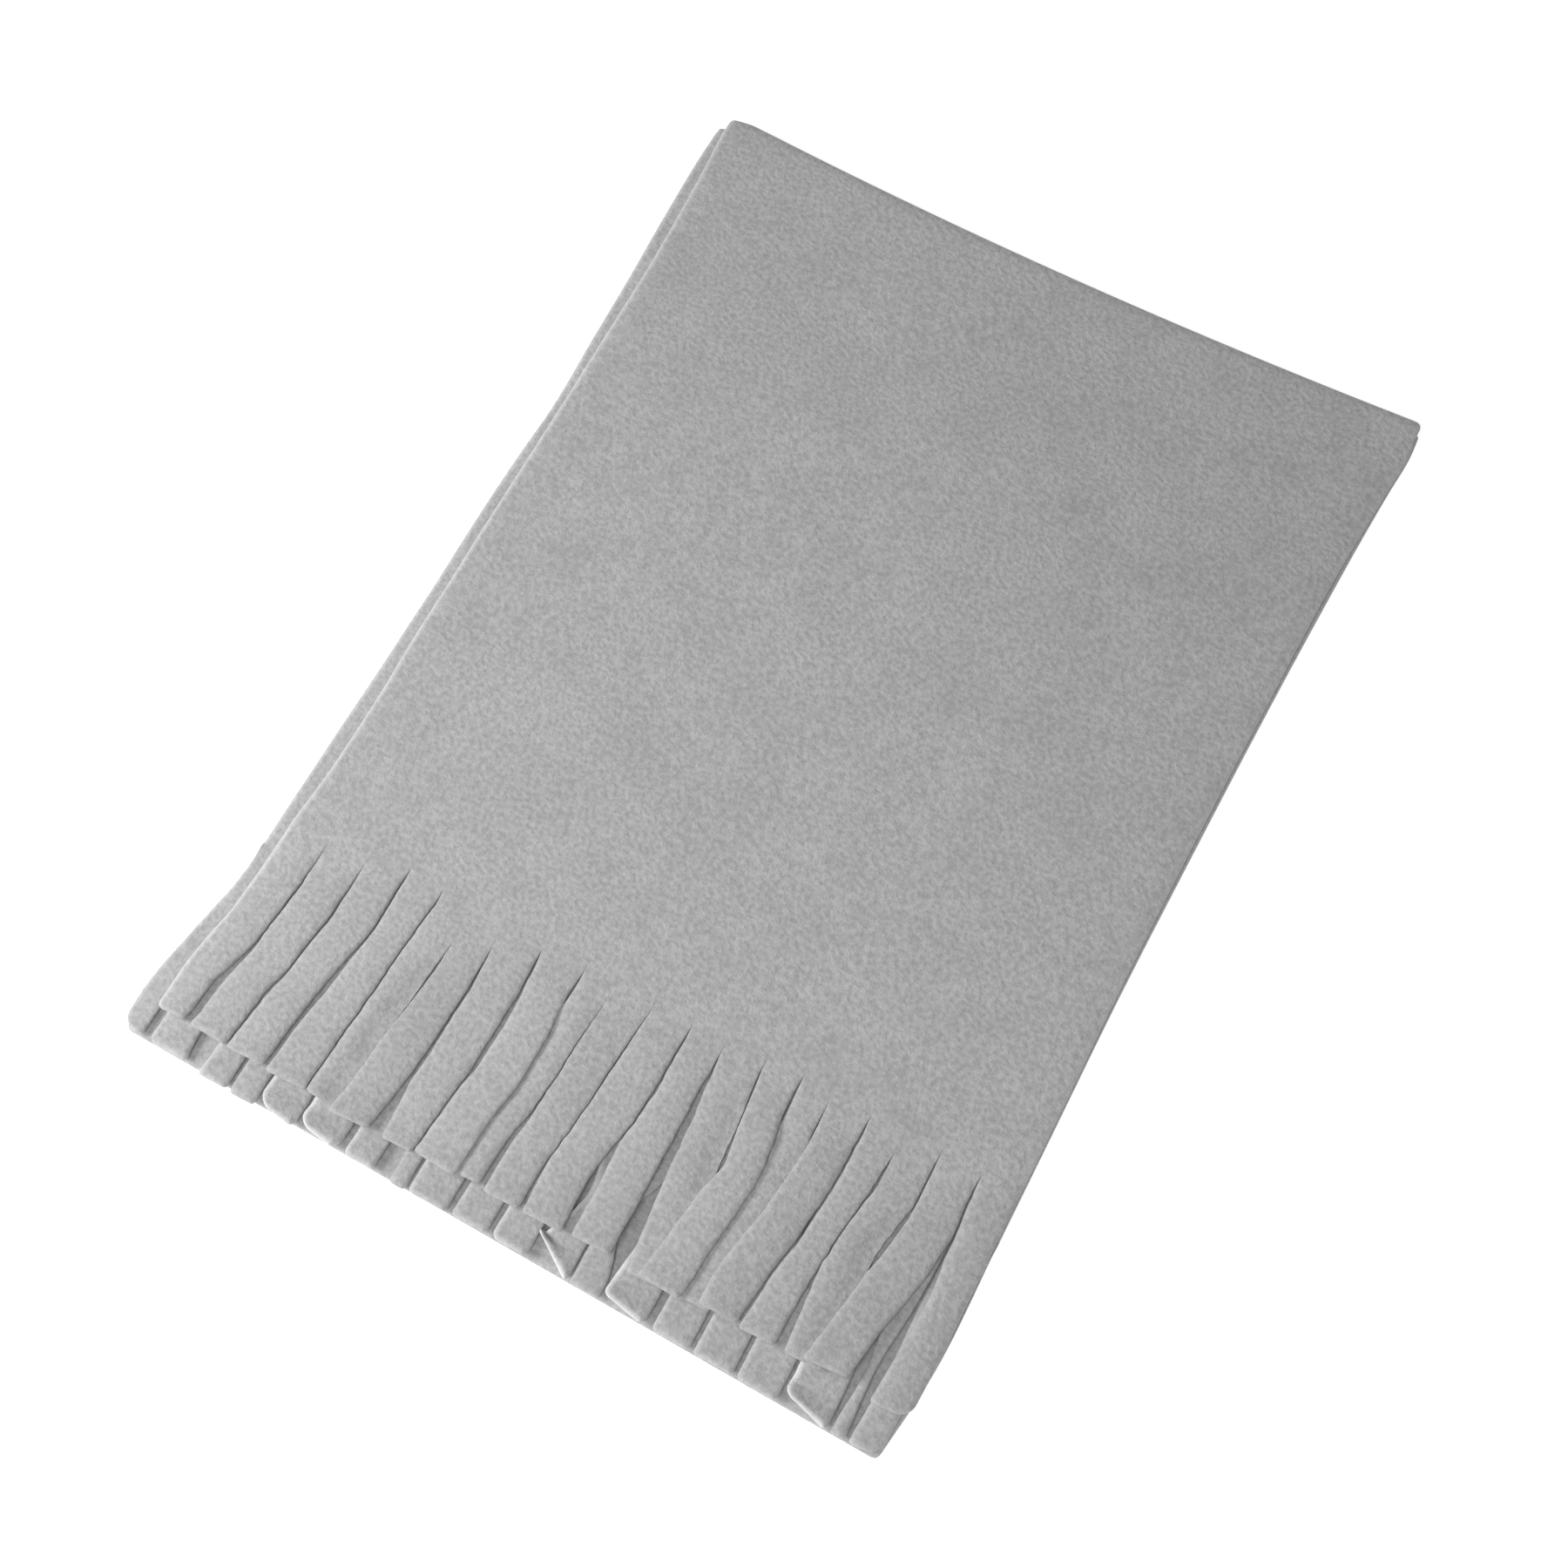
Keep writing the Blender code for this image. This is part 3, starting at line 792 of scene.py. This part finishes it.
class THROW_OT_top_fringe(bpy.types.Operator):
    """Build the strips of the top fringe"""

    bl_idname = "throw.top_fringe"
    bl_label = "Top fringe"

    def execute(self, context):
        root_left = float(edge_x(TOP_LEFT, TOP_ROOT.y)[0])
        root_right = float(edge_x(TOP_RIGHT, TOP_ROOT.y)[0])
        total = sum(strip[0] for strip in TOP_STRIPS)
        nodes = [f"top_strip_{n:02d}" for n in range(1, len(TOP_STRIPS) + 1)]
        bodies = [body_of_node(node) for node in nodes]
        lapped = {(n, n + 1) for n in range(1, len(nodes)) if bodies[n - 1] == bodies[n]}
        length = TOP_ROOT.y - TOP_TIP_Y
        common = np.linspace((TOP_ROOT.y - TOP_SLITS_Y) / length, 1.0, 181)
        behind = TOP_ROOT.y - np.minimum(common, 0.0) * length
        lefts, rights = [], []
        cut = root_left
        for root_width, stops in TOP_STRIPS:
            width = root_width / total * (root_right - root_left)
            swing = bent_line([(0.0, 0.0), *[stop[:2] for stop in stops]], common, length) * MM
            wide = bent_line([(0.0, width / MM), *[(p[0], p[2]) for p in stops]], common,
                             length) * MM
            lefts.append(cut + width / 2 + swing - wide / 2)
            rights.append(cut + width / 2 + swing + wide / 2)
            cut += width
        lefts[0] = lefts[0] + edge_x(TOP_LEFT, behind) - root_left
        rights[-1] = rights[-1] + edge_x(TOP_RIGHT, behind) - root_right
        clear_slits(lefts, rights, common, lapped)
        for number, node in enumerate(nodes, start=1):
            longer, slant = TOP_TIPS[number - 1]
            path, normals = flat_rows(TOP_SLITS_Y, TOP_TIP_Y - longer * MM, LEVELS["top_ply"],
                                      True)
            along = (TOP_ROOT.y - path[:, 0]) / (TOP_ROOT.y - path[-1, 0])
            raised = smooth((along - 0.90) / 0.10) * TIP_RISE
            lifts = [lap_heights(number, edge, along, length) + raised
                     for edge in ("left", "right")]
            rise = noise.noise(Vector((number * 1.7, 0.3, 0.9)))
            crown = smooth(along / 0.25) * (0.45 + 0.25 * rise) * MM
            piece = make_strip(node, path, normals, np.interp(along, common, lefts[number - 1]),
                               np.interp(along, common, rights[number - 1]),
                               [cut_depth(slit, along * length) for slit in (number - 1, number)],
                               lifts, crown, slant * MM,
                               [c * MM for c in TIP_CORNERS.get(number, PLAIN_CORNERS)],
                               # Pale cut edge weights: more on the left edge than the right, and
                               # most on the first strip, whose left edge is the cloth's side. This
                               # is painted highlight where the light falls from the left.
                               (0.45 if number == 1 else 0.10, 0.05, 0.08),
                               [pressing(number, edge, along) for edge in ("left", "right")])
            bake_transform(piece)
        return {"FINISHED"}


class THROW_OT_second_fringe(bpy.types.Operator):
    """Build the strips of the second fringe, whose tips show past the top one"""

    bl_idname = "throw.second_fringe"
    bl_label = "Second fringe"

    def execute(self, context):
        root_left = float(edge_x(SECOND_LEFT, SECOND_ROOT_Y)[0])
        root_right = float(edge_x(SECOND_RIGHT, SECOND_ROOT_Y)[0])
        total = sum(strip[0] for strip in SECOND_STRIPS)
        cut = root_left
        for number, strip in enumerate(SECOND_STRIPS, start=1):
            node = f"second_strip_{number:02d}"
            _, tip_left, tip_right, curl_left, curl_right, slant, *corners = strip
            width = strip[0] / total * (root_right - root_left)
            tip_y = SECOND_TIP_Y - SECOND_LONGER.get(number, 0.0) * MM
            path, normals = flat_rows(SECOND_ROOT_Y, tip_y, LEVELS["second_ply"], True)
            along = (SECOND_ROOT_Y - path[:, 0]) / (SECOND_ROOT_Y - tip_y)
            swing = smooth(along / 0.9)
            gap = 0.35 * SLIT * smooth(along * 8.0)
            left = cut + (CLOTH_LEFT + tip_left * MM - cut) * swing + gap
            right = cut + width + (CLOTH_LEFT + tip_right * MM - cut - width) * swing - gap
            left = left + cut_wander(path[:, 0], number + 40) * smooth(along * 8.0) * 0.6
            right = right + cut_wander(path[:, 0], number + 41) * smooth(along * 8.0) * 0.6
            for slit, start, end, from_left, from_right in SECOND_GAPES:
                gape = np.sin(np.clip((along - start) / (end - start), 0, 1) * math.pi) ** 2
                left = left + (gape * from_right * MM if slit == number - 1 else 0.0)
                right = right - (gape * from_left * MM if slit == number else 0.0)
            cut += width
            past = smooth((TOP_TIP_Y - 3.0 * MM - path[:, 0]) / (9.0 * MM))
            lifts = (past * curl_left * MM, past * curl_right * MM)
            opening = [smooth(along * 8.0)] * 2
            piece = make_strip(node, path, normals, left, right, opening, lifts, past * 0.3 * MM,
                               slant * MM, [corner * MM for corner in corners],
                               # The pale cut edge grows with how far the left edge curls up:
                               # painted highlight where curled edges catch the light.
                               (min(1.0, 0.12 + 0.40 * curl_left), 0.1,
                                min(1.0, 0.15 + 0.38 * curl_left)))
            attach(piece, "upper_half")
        return {"FINISHED"}


class THROW_OT_stage(bpy.types.Operator):
    """Set up the floor, the light and the camera"""

    bl_idname = "throw.stage"
    bl_label = "Stage"

    def execute(self, context):
        settings = context.scene.throw_settings
        bpy.ops.mesh.primitive_plane_add(size=FLOOR_SIZE, location=(0.0, 0.0, -FLOOR_DROP))
        floor = context.active_object
        floor.name = "floor"
        floor.data.materials.append(
            plain_material("floor", settings.floor_colour, 0.9, FLOOR_GLOW))

        for name, place, size, power in LAMPS:
            add_area_light(name, place, size, power)
        world = bpy.data.worlds.new("studio")
        world.use_nodes = True
        background = world.node_tree.nodes["Background"]
        background.inputs["Color"].default_value = (1.0, 1.0, 1.0, 1.0)
        background.inputs["Strength"].default_value = STUDIO_LIGHT
        context.scene.world = world
        context.scene.view_settings.view_transform = "Standard"

        camera_data = bpy.data.cameras.new("camera")
        camera_data.lens = 50.0
        camera_data.sensor_width = 36.0
        camera_data.clip_start = 0.01
        camera = bpy.data.objects.new("camera", camera_data)
        camera.location = CAMERA_PLACE
        camera.rotation_euler = [math.radians(turn) for turn in CAMERA_TURNS]
        context.scene.collection.objects.link(camera)
        context.scene.camera = camera
        return {"FINISHED"}


def add_area_light(name, place, size, power):
    """A soft square light that looks at the middle of the throw."""
    light = bpy.data.lights.new(name, "AREA")
    light.shape = "SQUARE"
    light.size = size
    light.energy = power
    holder = bpy.data.objects.new(name, light)
    holder.location = place
    aim = Vector((0.0, 0.0, 0.0)) - Vector(place)
    holder.rotation_euler = aim.to_track_quat("-Z", "Y").to_euler()
    bpy.context.scene.collection.objects.link(holder)
    return holder


class THROW_PT_panel(bpy.types.Panel):
    """Lists the steps that build the throw"""

    bl_label = "Folded Fleece Throw"
    bl_idname = "THROW_PT_panel"
    bl_space_type = "VIEW_3D"
    bl_region_type = "UI"
    bl_category = "Throw"

    def draw(self, context):
        settings = context.scene.throw_settings
        for label in settings.bl_rna.properties.keys():
            if label not in ("rna_type", "name"):
                self.layout.prop(settings, label)
        for step in STEPS:
            self.layout.operator(step.bl_idname)


STEPS = (THROW_OT_lower_half, THROW_OT_upper_half, THROW_OT_back_folds, THROW_OT_top_fringe,
         THROW_OT_second_fringe, THROW_OT_stage)
CLASSES = (ThrowSettings, *STEPS, THROW_PT_panel)


def register():
    for cls in CLASSES:
        bpy.utils.register_class(cls)
    bpy.types.Scene.throw_settings = bpy.props.PointerProperty(type=ThrowSettings)


def unregister():
    del bpy.types.Scene.throw_settings
    for cls in reversed(CLASSES):
        bpy.utils.unregister_class(cls)


def main():
    register()
    bpy.ops.throw.lower_half()
    bpy.ops.throw.upper_half()
    bpy.ops.throw.back_folds()
    bpy.ops.throw.top_fringe()
    bpy.ops.throw.second_fringe()
    bpy.ops.throw.stage()
    bpy.context.view_layer.update()


if __name__ == "__main__":
    main()
